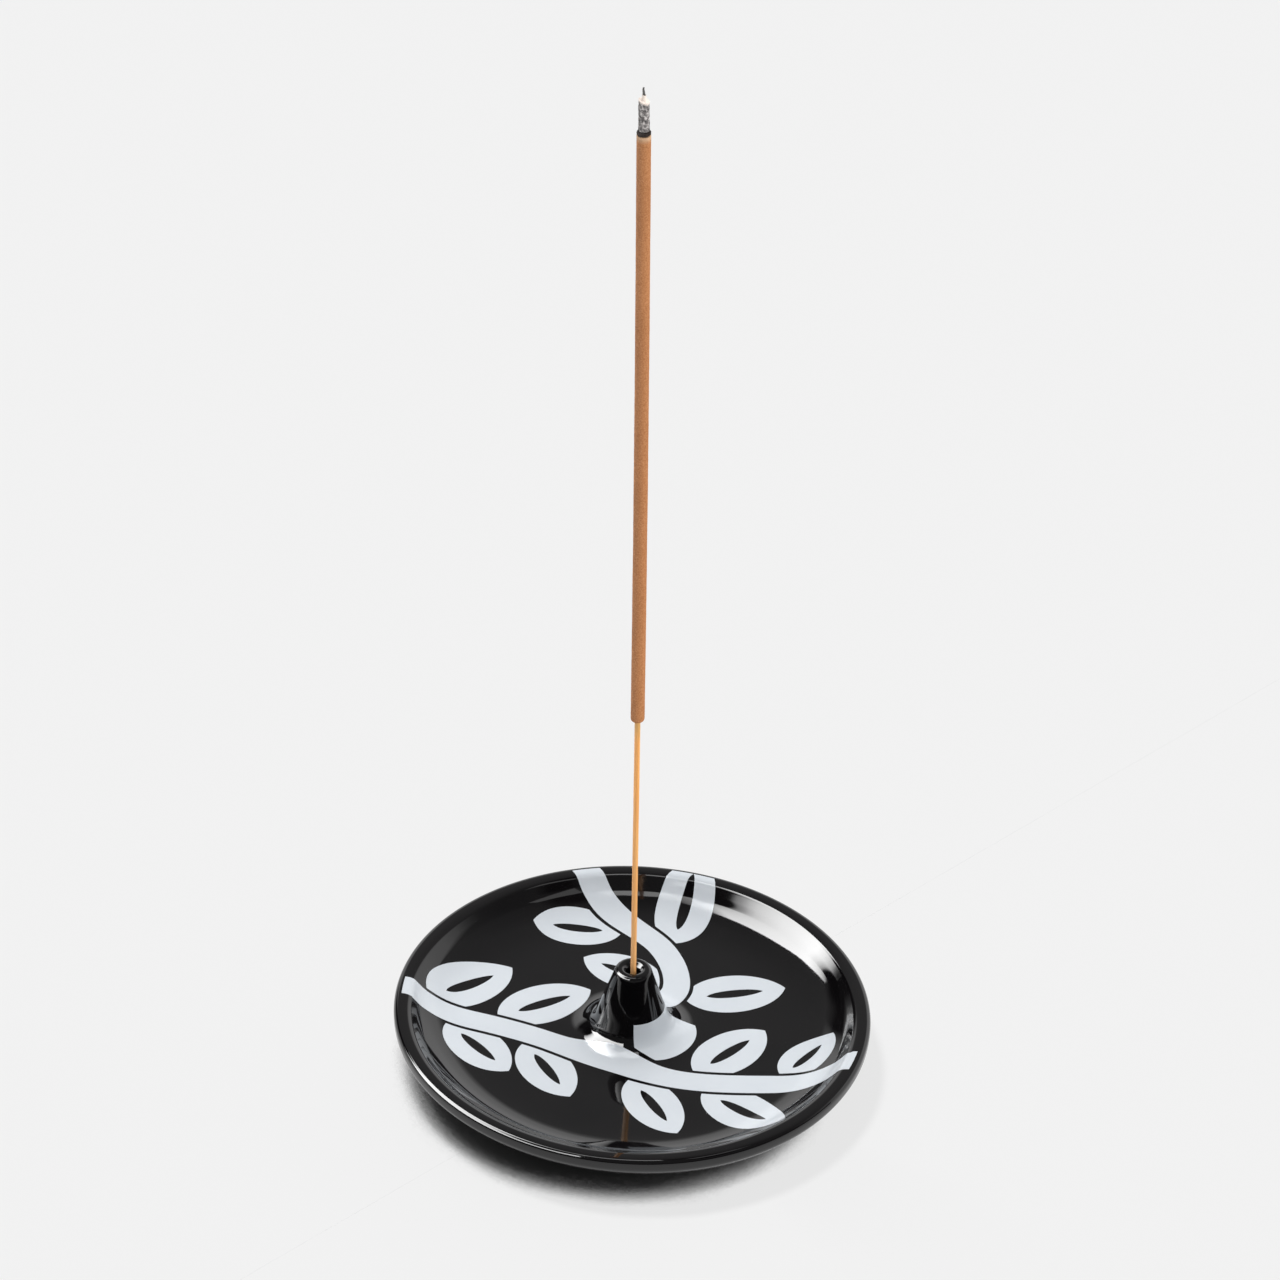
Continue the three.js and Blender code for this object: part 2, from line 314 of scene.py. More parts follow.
def mixed(tree, share, first, second, mode="MIX"):
    """Two colours mixed by a share, each a socket or a plain colour."""
    made = tree.nodes.new("ShaderNodeMix")
    made.data_type = "RGBA"
    made.blend_type = mode
    for name, value in (("Factor", share), ("A", first), ("B", second)):
        sockets = [s for s in made.inputs if s.name == name and s.enabled]
        if isinstance(value, bpy.types.NodeSocket):
            tree.links.new(value, sockets[0])
        else:
            sockets[0].default_value = value
    return next(s for s in made.outputs if s.enabled)


def axis_part(tree, where, axis):
    made = tree.nodes.new("ShaderNodeSeparateXYZ")
    tree.links.new(where, made.inputs["Vector"])
    return made.outputs[axis]


def dot(tree, where, vector):
    """How far a place lies along a vector."""
    made = tree.nodes.new("ShaderNodeVectorMath")
    made.operation = "DOT_PRODUCT"
    made.inputs[1].default_value = vector
    tree.links.new(where, made.inputs[0])
    return made.outputs["Value"]


def bump(tree, shader, height, distance):
    """Small relief of a real height, in metres."""
    made = tree.nodes.new("ShaderNodeBump")
    made.inputs["Distance"].default_value = distance
    tree.links.new(height, made.inputs["Height"])
    tree.links.new(made.outputs["Normal"], shader.inputs["Normal"])


def glaze():
    """Black gloss glaze with a faint brown depth, a little unevenness and dust, bare clay under the foot."""
    made, tree, shader = material("black_glaze")
    where = place(tree, (1, 1, 1))
    depth = ramp(tree, grain(tree, where, 60), [
        (0.3, (0.0035, 0.0032, 0.0038)), (0.8, (0.0065, 0.0055, 0.006))])
    dust = ramp(tree, grain(tree, where, 1900, 2, 0.7), [(0.70, (0, 0, 0)), (0.80, (0.05, 0.05, 0.05))])
    patches = span(tree, grain(tree, where, 45, 3), 0.42, 0.62, 0.0, 1.0)
    dusted = mixed(tree, patches, depth, mixed(tree, 1.0, depth, dust, "ADD"))
    clay = ramp(tree, grain(tree, where, 900), [(0.3, (0.36, 0.30, 0.24)), (0.7, (0.52, 0.45, 0.37))])
    bare = span(tree, axis_part(tree, where, "Z"), 0.00025, 0.0005, 1.0, 0.0)
    tree.links.new(mixed(tree, bare, dusted, clay), shader.inputs["Base Color"])
    smear = span(tree, grain(tree, where, 80, 5), 0.35, 0.75, 0.035, 0.075)
    matte = mixed(tree, bare, smear, (0.85, 0.85, 0.85, 1))
    tree.links.new(matte, shader.inputs["Roughness"])
    shader.inputs["IOR"].default_value = 1.52
    bump(tree, shader, grain(tree, where, 260, 2), 0.000006)
    return made


def film():
    """White overglaze print, a little softer in gloss than the glaze."""
    made, tree, shader = material("white_film")
    where = place(tree, (1, 1, 1))
    tone = ramp(tree, grain(tree, where, 120, 4), [(0.3, (0.745, 0.79, 0.84)), (0.7, (0.775, 0.82, 0.865))])
    tree.links.new(tone, shader.inputs["Base Color"])
    tree.links.new(span(tree, grain(tree, where, 500, 3), 0.3, 0.7, 0.10, 0.16), shader.inputs["Roughness"])
    shader.inputs["IOR"].default_value = 1.5
    bump(tree, shader, grain(tree, where, 900, 2), 0.000004)
    return made


def bamboo():
    """Split bamboo: long fibres, duller near the hole, stained by the paste just below its end."""
    made, tree, shader = material("bamboo")
    fibres = grain(tree, place(tree, (5200, 5200, 60)), 1, 5, 0.6)
    tone = ramp(tree, fibres, [
        (0.3, (0.74, 0.29, 0.065)), (0.5, (0.90, 0.41, 0.11)), (0.72, (0.96, 0.56, 0.20))])
    where = place(tree, (1, 1, 1))
    height = axis_part(tree, where, "Z")
    cool = span(tree, height, 0.025, 0.075, 0.5, 0.0)
    paler = mixed(tree, cool, tone, (0.74, 0.42, 0.19, 1))
    stain = span(tree, height, 0.0905, 0.0950, 0.0, 0.75)
    tree.links.new(mixed(tree, stain, paler, (0.62, 0.36, 0.11, 1)), shader.inputs["Base Color"])
    shader.inputs["Roughness"].default_value = 0.55
    bump(tree, shader, fibres, 0.00003)
    return made


def paste():
    """Rolled incense paste: dry, matte wood powder with darker and lighter grains, ashy at its top."""
    made, tree, shader = material("incense_paste")
    where = place(tree, (1, 1, 1))
    powder = grain(tree, where, 2600, 6, 0.75)
    tone = ramp(tree, powder, [
        (0.30, (0.34, 0.127, 0.048)), (0.5, (0.51, 0.220, 0.090)), (0.72, (0.64, 0.33, 0.155))])
    drift = grain(tree, place(tree, (260, 260, 70)), 1, 3)
    cloudy = ramp(tree, drift, [(0.3, (0.86, 0.84, 0.82)), (0.7, (1.0, 1.0, 1.0))])
    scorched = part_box("incense_paste")[1].z
    ashy = span(tree, axis_part(tree, where, "Z"), scorched - 0.0016, scorched - 0.0004, 0.0, 0.6)
    rolled = mixed(tree, 1.0, tone, cloudy, "MULTIPLY")
    tree.links.new(mixed(tree, ashy, rolled, (0.72, 0.52, 0.34, 1)), shader.inputs["Base Color"])
    shader.inputs["Roughness"].default_value = 0.9
    shader.inputs["Specular IOR Level"].default_value = 0.15
    bump(tree, shader, powder, 0.00008)
    return made


def ember():
    """The charred band between paste and ash."""
    made, tree, shader = material("ember_char")
    grains = grain(tree, place(tree, (1, 1, 1)), 2400, 5, 0.7)
    tone = ramp(tree, grains, [
        (0.3, (0.02, 0.015, 0.013)), (0.6, (0.04, 0.03, 0.026)), (0.8, (0.08, 0.058, 0.048))])
    tree.links.new(tone, shader.inputs["Base Color"])
    shader.inputs["Roughness"].default_value = 0.92
    shader.inputs["Specular IOR Level"].default_value = 0.15
    bump(tree, shader, grains, 0.00012)
    return made


def ash():
    """Burnt ash: grey and white flakes with darker cracks, palest at the slanted top."""
    made, tree, shader = material("incense_ash")
    flakes = grain(tree, place(tree, (1500, 1500, 1100)), 1, 6, 0.72)
    tone = ramp(tree, flakes, [
        (0.37, (0.045, 0.042, 0.043)), (0.5, (0.22, 0.205, 0.20)), (0.64, (0.72, 0.68, 0.66))])
    low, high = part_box("ash_column")
    top = high.z + ASH_SLOPE * low.x
    slanted = dot(tree, place(tree, (1, 1, 1)), (ASH_SLOPE, 0, 1))
    powdered = span(tree, slanted, top - 0.0006, top - 0.0001, 0.0, 0.92)
    tree.links.new(mixed(tree, powdered, tone, (0.93, 0.82, 0.74, 1)), shader.inputs["Base Color"])
    shader.inputs["Roughness"].default_value = 0.95
    shader.inputs["Specular IOR Level"].default_value = 0.2
    bump(tree, shader, flakes, 0.00015)
    return made


def char():
    """The bare core above the ash, burnt to charcoal."""
    made, tree, shader = material("charred_bamboo")
    fibres = grain(tree, place(tree, (4200, 4200, 700)), 1, 4, 0.6)
    tone = ramp(tree, fibres, [(0.3, (0.03, 0.028, 0.027)), (0.7, (0.12, 0.115, 0.11))])
    tree.links.new(tone, shader.inputs["Base Color"])
    shader.inputs["Roughness"].default_value = 0.85
    bump(tree, shader, fibres, 0.00006)
    return made


# ---------------------------------------------------------------- the dish
def dish(finish):
    points, faces = turned(thinned(PROFILE, math.radians(2.5), 2.5), TURN_SEGMENTS)
    piece = new_mesh("glazed_dish", warped(points) * MM, faces, finish, 60)
    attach(piece, "dish")
    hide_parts("dish")


# ---------------------------------------------------------------- the print
class Spline:
    """A Catmull-Rom curve through flat points, with its place and direction along it from 0 to 1."""

    def __init__(self, points):
        self.points = np.array(points, float)

    def at(self, t):
        last = len(self.points) - 1
        place_along = min(max(t, 0.0), 1.0) * last
        i = min(int(place_along), last - 1) if t < 1 else last
        w = place_along - i
        a, b, c, d = (self.points[min(max(k, 0), last)] for k in (i - 1, i, i + 1, i + 2))
        start, end = (c - a) / 2, (d - b) / 2
        cubic = 2 * b - 2 * c + start + end
        square = 3 * c - 3 * b - 2 * start - end
        return cubic * w ** 3 + square * w ** 2 + start * w + b

    def along(self, t):
        step = self.at(min(t + 1e-4, 1)) - self.at(max(t - 1e-4, 0))
        return step / np.linalg.norm(step)


def side_of(direction):
    return np.array([-direction[1], direction[0]])


def stroke(curve, width, steps=120):
    """The outline of a stroke of even width along a curve."""
    left, right = [], []
    for t in np.linspace(0, 1, steps + 1):
        offset = side_of(curve.along(t)) * width / 2
        left.append(curve.at(t) + offset)
        right.append(curve.at(t) - offset)
    return np.array(right + left[::-1])


def lens(start, end, fullness, steps=40):
    """A pointed oval along +X from start to end, fuller towards its base: two mirrored Bezier curves."""
    size = end - start
    bulge = size * fullness * 2 / 3
    t = np.linspace(0, 1, steps + 1)[:, None]
    ends = np.array([[start, 0], [end, 0]])
    near = np.array([start + size * LENS_NEAR, -bulge])
    far = np.array([start + size * LENS_FAR, -bulge])
    lower = ((1 - t) ** 3 * ends[0] + 3 * (1 - t) ** 2 * t * near + 3 * (1 - t) * t ** 2 * far
             + t ** 3 * ends[1])
    upper = (lower * [1, -1])[::-1]
    return np.concatenate([lower[:-1], upper[:-1]])


def circle(radius, steps):
    angles = np.linspace(0, 2 * math.pi, steps, endpoint=False)
    return np.stack([radius * np.cos(angles), radius * np.sin(angles)], 1)


def inside(points, outline):
    """Which flat points lie inside an outline, by counting the edges that cross their row."""
    x, y = points[:, 0], points[:, 1]
    found = np.zeros(len(points), bool)
    for (ax, ay), (bx, by) in zip(outline, np.roll(outline, -1, 0)):
        if ay == by:
            continue
        crosses = (ay > y) != (by > y)
        found ^= crosses & (x < (bx - ax) * (y - ay) / (by - ay) + ax)
    return found


def fill_points():
    """Points that carry the film over the bed's curves: a fine net, finer on the cone and the lip."""
    points = [circle(radius, 48) for radius in np.arange(FILM_INNER + RING_STEP, CONE_NET_END, 0.4)]
    points += [circle(radius, 420) for radius in np.arange(cove_end - 0.5, FILM_OUTER - 0.15, RING_STEP)]
    row_height = NET_PITCH * math.sqrt(3) / 2
    for row, y in enumerate(np.arange(-FILM_OUTER, FILM_OUTER, row_height)):
        x = np.arange(-FILM_OUTER, FILM_OUTER, NET_PITCH) + NET_PITCH / 2 * (row % 2)
        line = np.stack([x, np.full(len(x), y)], 1)
        radius = np.hypot(x, y)
        points.append(line[(radius > CONE_NET_END + 0.3) & (radius < cove_end - 1)])
    return np.concatenate(points)


FILL_POINTS = fill_points()
OUTER_EDGE = circle(FILM_OUTER, 360)
INNER_EDGE = circle(FILM_INNER, 72)


def on_bed(flat, proud):
    """Flat points in mm lifted onto the glaze, and off it by a small height along its normal, in metres."""
    radius = np.hypot(flat[:, 0], flat[:, 1])
    height = np.interp(radius, BED[:, 0], BED[:, 1])
    slope = np.interp(radius, BED[:, 0], BED_SLOPE)
    tilt = 1 / np.sqrt(1 + slope ** 2)
    out = (radius - proud * slope * tilt) / radius
    return warped(np.stack([flat[:, 0] * out, flat[:, 1] * out, height + proud * tilt], 1)) * MM


def film_piece(name, outline, cutters, finish):
    """One printed shape: its outline less its cutters, as a thin closed skin lying on the glaze."""
    low, high = outline.min(0) - 1, outline.max(0) + 1
    near = np.all((FILL_POINTS > low) & (FILL_POINTS < high), 1)
    within = FILL_POINTS[near]
    within = within[inside(within, outline)]
    loops = [outline, *cutters, OUTER_EDGE, INNER_EDGE]
    flat, edges = [within], []
    count = len(within)
    for loop in loops:
        edges += [(count + k, count + (k + 1) % len(loop)) for k in range(len(loop))]
        flat.append(loop)
        count += len(loop)
    corners = [Vector(p) for p in np.concatenate(flat)]
    made, _, triangles, *_ = delaunay_2d_cdt(corners, edges, [], 0, 1e-5, False)
    flat = np.array([tuple(p) for p in made])
    triangles = np.array(triangles)
    centres = flat[triangles].mean(1)
    radius = np.hypot(*centres.T)
    keep = inside(centres, outline) & (radius < FILM_OUTER) & (radius > FILM_INNER)
    for cutter in cutters:
        keep &= ~inside(centres, cutter)
    triangles = triangles[keep]
    used, triangles = np.unique(triangles, return_inverse=True)
    triangles = triangles.reshape(-1, 3)
    flat = flat[used]
    a, b, c = (flat[triangles[:, k]] for k in range(3))
    turn = (b - a)[:, 0] * (c - a)[:, 1] - (b - a)[:, 1] * (c - a)[:, 0]
    triangles = np.where((turn > 0)[:, None], triangles, triangles[:, ::-1])
    lone = {}
    for i, j in np.concatenate([triangles[:, [0, 1]], triangles[:, [1, 2]], triangles[:, [2, 0]]]):
        if (j, i) in lone:
            del lone[(j, i)]
        else:
            lone[(i, j)] = True
    count = len(flat)
    faces = [tuple(t) for t in triangles]
    faces += [tuple(t[::-1] + count) for t in triangles]
    faces += [(j, i, i + count, j + count) for i, j in lone]
    points = np.concatenate([on_bed(flat, FILM_PROUD), on_bed(flat, 0.0)])
    piece = new_mesh(name.replace("decal", "printed"), points, faces, finish)
    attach(piece, "dish")
    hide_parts(name)


def leaf_loops(base, aim, length, veined):
    """A leaf's outline and, where it has one, its vein, turned to its aim and moved to its base."""
    turn = np.array([[math.cos(aim), math.sin(aim)], [-math.sin(aim), math.cos(aim)]])
    loops = [lens(0, length, LEAF_FULLNESS)]
    if veined:
        loops.append(lens(length * VEIN_START, length * VEIN_END, VEIN_FULLNESS))
    return [loop @ turn + base for loop in loops]


# Each leaf: where along its stem, which side of it, its angle off the stem in degrees, its length, and
# whether it has a vein.
FRONT_STEM = [(-58, 6), (-40, 3), (-22, -3), (-5, -11.5), (13, -17), (34, -17), (58, -15)]
FRONT_LEAVES = [
    (0.1, 1, 46, 24, True), (0.15, -1, 36, 22, True), (0.24, 1, 46, 24, True),
    (0.32, -1, 38, 22, True), (0.56, -1, 40, 22, True), (0.55, 1, 66, 19, False),
    (0.68, 1, 52, 23, True), (0.7, -1, 32, 23, True), (0.84, 1, 46, 18, True),
]
BACK_STEM = [(3, 6), (10, 17), (6, 32), (-8, 46), (-16, 58)]
BACK_LEAVES = [
    (0.2, -1, 52, 24, True), (0.26, 1, 68, 21, True), (0.5, -1, 46, 24, True),
    (0.63, 1, 38, 21, True),
]


def sprig(name, points, leaves, first_leaf, finish):
    """A stem and its leaves, with an even gap between them."""
    stem = Spline(points)
    film_piece(name, stroke(stem, STEM_WIDTH), [], finish)
    kept_clear = stroke(stem, STEM_WIDTH + 2 * STEM_CLEARANCE)
    for i, (share, side, angle, length, veined) in enumerate(leaves):
        along = stem.along(share)
        base = stem.at(share) + side_of(along) * side * STEM_WIDTH / 2
        aim = math.atan2(along[1], along[0]) + side * math.radians(angle)
        outline, *vein = leaf_loops(base, aim, length, veined)
        film_piece(f"decal_leaf_{first_leaf + i:02d}", outline, [*vein, kept_clear], finish)


# ---------------------------------------------------------------- the stick
LIFT_AXIS = Vector(frame["joints"][0]["axis"]).normalized()
LEAN = math.atan2(-LIFT_AXIS.x, LIFT_AXIS.z)


def stick_frame():
    """The stick's own frame: its origin is the lower end of the bamboo and its Z runs up the stick."""
    low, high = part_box("bamboo_core")
    radius = (high.y - low.y) / 2
    foot = Vector((high.x - radius * math.cos(LEAN), 0, low.z + radius * math.sin(LEAN)))
    side = Vector((0, 1, 0)).cross(LIFT_AXIS)
    turn = Matrix((side, (0, 1, 0), LIFT_AXIS)).transposed()
    return Matrix.Translation(foot) @ turn.to_4x4()


STICK = stick_frame()
STICK_ARRAY = np.array(STICK)


def reach_of(node):
    """Where a node of the stick starts and ends along it, and its radius, all in mm."""
    low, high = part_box(node)
    radius = (high.y - low.y) / 2
    foot = STICK.translation.z
    start = (low.z - foot + radius * math.sin(LEAN)) / math.cos(LEAN)
    end = (high.z - foot - radius * math.sin(LEAN)) / math.cos(LEAN)
    return start / MM, end / MM, radius / MM


STICK_TOP = reach_of("charred_core_tip")[1]


def bow(z):
    """A split stick is never quite straight: how far this one bends to +X at a height, in mm."""
    share = np.clip((z - STICK_INSERTION) / (STICK_TOP - STICK_INSERTION), 0, 1)
    return STICK_BOW * np.sin(math.pi * share)


def rough(x, y, z, size, seed):
    """Perlin noise in mm, with features about size across."""
    return noise.noise(Vector((x / size + seed, y / size - seed, z / size + 2 * seed)))


def round_piece(name, profile, segments, shape, finish, closed=True):
    """A piece of the stick turned from a profile in mm, each point moved by shape(x, y, z)."""
    angles = np.linspace(0, 2 * math.pi, segments, endpoint=False)
    points = []
    for r, z in profile:
        for angle in angles:
            x, y = math.cos(angle), math.sin(angle)
            points.append(shape(r * x, r * y, z))
    faces = ring_faces(len(profile), segments, closed)
    if not closed:
        top = (len(profile) - 1) * segments
        faces.append(tuple(range(segments))[::-1])
        faces.append(tuple(range(top, top + segments)))
    points = np.array(points)
    points[:, 0] += bow(points[:, 2])
    world = (points * MM) @ STICK_ARRAY[:3, :3].T + STICK_ARRAY[:3, 3]
    piece = new_mesh(name, world, faces, finish, 50)
    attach(piece, "stick")
    return piece


def swell(x, y, amount):
    return x * amount, y * amount


def bamboo_core(finish):
    start, end, radius = reach_of("bamboo_core")
    heights = np.linspace(start, end, 360)
    profile = [(radius, z) for z in heights]
    seeds = [(k * 2.4, 0.012 + 0.008 * math.sin(k * 1.7)) for k in range(5)]

    def shape(x, y, z):
        angle = math.atan2(y, x)
        ridges = sum(size * math.cos((k + 2) * angle + turn) for k, (turn, size) in enumerate(seeds))
        wander = 0.035 * rough(0, 0, z, 9, 3.1)
        return (*swell(x, y, 1 + ridges + wander + 0.02 * rough(x, y, z / 12, 0.4, 7.7)), z)

    piece = round_piece("bamboo_rod", profile, 28, shape, finish, closed=False)
    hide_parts("bamboo_core")
    return piece


def incense_paste(finish):
    start, end, radius = reach_of("incense_paste")
    bore = reach_of("bamboo_core")[2] + CORE_CLEARANCE
    shoulder = radius - bore - 0.12
    rounded = arc(radius - shoulder, start + shoulder, shoulder, -math.pi / 2, 0, 8)
    side = [(radius, z) for z in np.arange(start + shoulder + 0.3, end - 0.1, 0.32)]
    profile = [*map(tuple, rounded), *side, (radius - 0.02, end - 0.05), (radius - 0.1, end),
               (bore, end), (bore, (start + end) / 2), (bore, start)]

    def shape(x, y, z):
        if math.hypot(x, y) < bore + BORE_TOLERANCE:
            return x, y, z
        wave = 0.018 * rough(0, 0, z, 14, 5.0) + 0.012 * rough(x, y, z, 3.0, 1.3)
        fine = 0.012 * rough(x, y, z, 0.45, 9.1)
        end_lump = 0.05 * rough(x, y, 0, 1.1, 4.2) * max(0.0, 1 - (z - start) / 2.5)
        drop = 1.2 * end_lump * (z - start < 1.2)
        return (*swell(x, y, 1 + wave + fine + end_lump), z + drop)

    piece = round_piece("paste_coating", profile, 36, shape, finish)
    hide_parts("incense_paste")
    return piece


def ember_band(finish):
    start, end, radius = reach_of("ember_band")
    bore = reach_of("bamboo_core")[2] + CORE_CLEARANCE
    heights = np.linspace(start, end, 9)
    outer = [(radius * (1 - 0.1 * ((z - start) / (end - start)) ** 3), z) for z in heights]
    profile = [*outer, (bore, end), (bore, start)]

    def shape(x, y, z):
        if math.hypot(x, y) < bore + BORE_TOLERANCE:
            return x, y, z
        crumb = 0.05 * rough(x, y, z, 0.5, 2.2) + 0.03 * rough(x, y, z, 0.22, 6.6)
        return (*swell(x, y, 1 + crumb), z + 0.08 * rough(x, y, z, 0.8, 8.8))

    piece = round_piece("ember_ring", profile, 48, shape, finish)
    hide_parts("ember_band")
    return piece


def ash_column(finish):
    start, end, radius = reach_of("ash_column")
    bore = reach_of("charred_core_tip")[2] + CORE_CLEARANCE
    top = end - ASH_SLOPE * radius
    outer = [(radius, z) for z in np.linspace(start, top, 56)]
    rim = [(radius * share, top) for share in (0.96, 0.85, 0.7, 0.57)]
    sheath = [(bore + 0.14, top + 0.15), (bore + 0.1, top + 0.6 * ASH_SHEATH),
              (bore + 0.03, top + ASH_SHEATH)]
    profile = [*outer, *rim, *sheath, (bore, top + ASH_SHEATH), (bore, start)]

    def shape(x, y, z):
        share = min(1.0, (z - start) / (end - start))
        z += share ** 4 * -ASH_SLOPE * x
        if math.hypot(x, y) < bore + BORE_TOLERANCE:
            return x, y, z
        flake = (0.07 * rough(x, y, z, 0.9, 3.3) + 0.055 * rough(x, y, z, 0.35, 1.9)
                 + 0.02 * rough(x, y, z, 0.16, 5.5))
        waist = 0.03 * math.sin(math.pi * share)
        return (*swell(x, y, 1 - waist + flake), z + 0.12 * rough(x, y, z, 0.7, 7.1))

    piece = round_piece("ash_roll", profile, 72, shape, finish)
    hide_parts("ash_column")
    return piece


def charred_tip(finish):
    start, end, radius = reach_of("charred_core_tip")
    ash_end = reach_of("ash_column")[1]
    heights = np.linspace(start, end, 60)
    visible = end - ash_end
    profile = []
    for z in heights:
        taper = max(0.0, (z - ash_end) / visible)
        profile.append((radius * (1 - 0.35 * taper ** 2), z))

    def shape(x, y, z):
        free = max(0.0, z - ash_end)
        kink = 0.3 * rough(0, 0, z, 0.9, 4.4) * min(1.0, free)
        x, y = swell(x, y, 1 + 0.2 * rough(x, y, z, 0.4, 2.7))
        return x + kink - 0.05 * free, y, z

    piece = round_piece("burnt_tip", profile, 20, shape, finish, closed=False)
    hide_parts("charred_core_tip")
    return piece


# ---------------------------------------------------------------- table, light and camera
# Directions are (azimuth, elevation) in degrees: azimuth 0 is +Y, away from the camera, and 90 is +X.
PANEL_DISTANCE = 1.5
TABLE_HALF = 30.0
TABLE_GREY = 0.12
TABLE_LIGHT = 0.768
# How much of the room a point of the table sees, and the level of its glow there: the table's painted
# shadow.
PAINTED_TABLE_SHADOW = [(0.0, 0.0), (0.2, 0.008), (0.25, 0.035), (0.3, 0.2), (0.33, 0.58), (0.352, 0.9),
               (0.38, 1.0)]
# The direction the table's painted shadow seems lit from: the share of the room seen is measured leaning
# this way.
PAINTED_SHADOW_AIM = (46, 64)
# The room's light up its walls, from (height, level) stops: on the bright side, on the dim side and in
# front. The first level is the table's own, so that no horizon shows.
HORIZON = 0.888
BRIGHT_WALL = [(0.0, HORIZON), (0.06, HORIZON), (0.2, 1.1), (0.4, 1.1), (0.5, 0.28), (1, 0.28)]
DIM_WALL = [(0.0, HORIZON), (0.03, HORIZON), (0.06, 0.25), (0.12, 0.02), (0.35, 0.02), (0.5, 0.28),
            (1, 0.28)]
FRONT_WALL = [(0.0, HORIZON), (0.04, HORIZON), (0.09, 0.12), (1, 0.12)]
BRIGHT_FROM = -33
# Dark gaps in the walls: a direction and a radius in degrees.
DARK_GAPS = [(-138, 52, 14), (-54, 21, 9), (124, 67, 8), (138, 38, 9)]
GAP_SOFTNESS = 2.5
SOFT_BOX = [(-150, 76), (-90, 68), (-62, 45), (-52, 32), (-56, 13), (-80, 8), (-120, 18), (-160, 25)]
# Each fade is a direction, and (degrees away from it, share of the light) stops.
SOFT_BOX_FADES = [
    (-138, 52, [(0, 0), (12.5, 0), (15, 0.22), (17, 0.3), (19.5, 0.48), (23, 0.66), (27, 0.76),
                (35, 0.9), (50, 1)]),
    (-54, 21, [(0, 0), (9.5, 0), (11, 0.32), (13, 0.54), (15.5, 0.76), (20, 1)]),
    (0, 90, [(0, 0), (13, 0), (19, 0.35), (24, 1)]),
]
SOFT_BOX_LEVEL = 20.0
WHITE_CARD = [(112, 59), (112, 48), (143, 48), (143, 59)]
WHITE_CARD_LEVEL = 1.0
STRIP = [(152, 64), (205, 64), (215, 75), (142, 75)]
STRIP_LEVEL = 3.5
FLAG_DISTANCE = 3 * CAD_BOX[1].x
FLAG_HEIGHT = 0.5 * CAD_BOX[1].x
FLAG_AZIMUTHS = range(95, 270, 5)

LENS_LENGTH = 226.95
SENSOR_WIDTH = 36
CAMERA_DISTANCE = 1.8
CAMERA_ELEVATION = math.radians(36.2)
CAMERA_ROLL = math.radians(2.28)


def direction(azimuth, elevation):
    """A unit vector from an azimuth and an elevation in degrees."""
    a, e = math.radians(azimuth), math.radians(elevation)
    return Vector((math.sin(a) * math.cos(e), math.cos(a) * math.cos(e), math.sin(e)))


def off_axis(tree, where, azimuth, elevation):
    """How many degrees a direction is away from a given one."""
    angle = tree.nodes.new("ShaderNodeMath")
    angle.operation = "ARCCOSINE"
    tree.links.new(dot(tree, where, direction(azimuth, elevation)), angle.inputs[0])
    return span(tree, angle.outputs["Value"], 0.0, math.pi, 0.0, 180.0)


def stepped(tree, value, stops, full):
    """A number looked up along a value that runs from 0 to full, from (value, number) stops."""
    place_along = span(tree, value, 0.0, full, 0.0, 1.0)
    return ramp(tree, place_along, [(at / full, (number, number, number)) for at, number in stops])


def table_top():
    """A wide pale table under even light, which also glows. Its painted shadow deepens where the dish hides
    more of the room.
    """
    made, tree, shader = material("table_painted_shadow")
    shader.inputs["Base Color"].default_value = (TABLE_GREY, TABLE_GREY, TABLE_GREY, 1)
    shader.inputs["Roughness"].default_value = 1.0
    shader.inputs["Specular IOR Level"].default_value = 0.0
    towards = tree.nodes.new("ShaderNodeCombineXYZ")
    for axis, part in enumerate(direction(*PAINTED_SHADOW_AIM)):
        towards.inputs[axis].default_value = part
    # Painted shadow: the share of the room each point sees, leaning one way, sets the table's glow through a
    # ramp.
    seen = tree.nodes.new("ShaderNodeAmbientOcclusion")
    seen.samples = 16
    seen.inputs["Distance"].default_value = 3 * CAD_BOX[1].x
    tree.links.new(towards.outputs["Vector"], seen.inputs["Normal"])
    shade = ramp(tree, seen.outputs["AO"], [(at, (level, level, level)) for at, level in PAINTED_TABLE_SHADOW])
    tree.links.new(shade, shader.inputs["Emission Color"])
    shader.inputs["Emission Strength"].default_value = TABLE_LIGHT
    half = TABLE_HALF
    corners = [(-half, -half, 0), (half, -half, 0), (half, half, 0), (-half, half, 0)]
    table = new_mesh("table_top", corners, [(0, 1, 2, 3)], made)
    table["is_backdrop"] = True
    return table


def studio_walls():
    """The room around: bright low down behind and to the right, dim elsewhere, with dark gaps."""
    world = bpy.data.worlds.new("studio")
    bpy.context.scene.world = world
    world.use_nodes = True
    tree = world.node_tree
    tree.nodes.clear()
    coordinates = tree.nodes.new("ShaderNodeTexCoord")
    where = coordinates.outputs["Generated"]
    height = axis_part(tree, where, "Z")
    bright, dim, before = (stepped(tree, height, stops, 1) for stops in (BRIGHT_WALL, DIM_WALL, FRONT_WALL))
    bright_share = span(tree, dot(tree, where, direction(BRIGHT_FROM + 90, 0)), -0.05, 0.07, 0.0, 1.0)
    behind = mixed(tree, bright_share, dim, bright)
    light = mixed(tree, span(tree, axis_part(tree, where, "Y"), -0.2, 0.3, 0.0, 1.0), before, behind)
    for azimuth, elevation, radius in DARK_GAPS:
        away = off_axis(tree, where, azimuth, elevation)
        shade = span(tree, away, radius - GAP_SOFTNESS, radius + GAP_SOFTNESS, 1.0, 0.0)
        light = mixed(tree, shade, light, (0.0, 0.0, 0.0, 1))
    background = tree.nodes.new("ShaderNodeBackground")
    tree.links.new(light, background.inputs["Color"])
    output = tree.nodes.new("ShaderNodeOutputWorld")
    tree.links.new(background.outputs["Background"], output.inputs["Surface"])


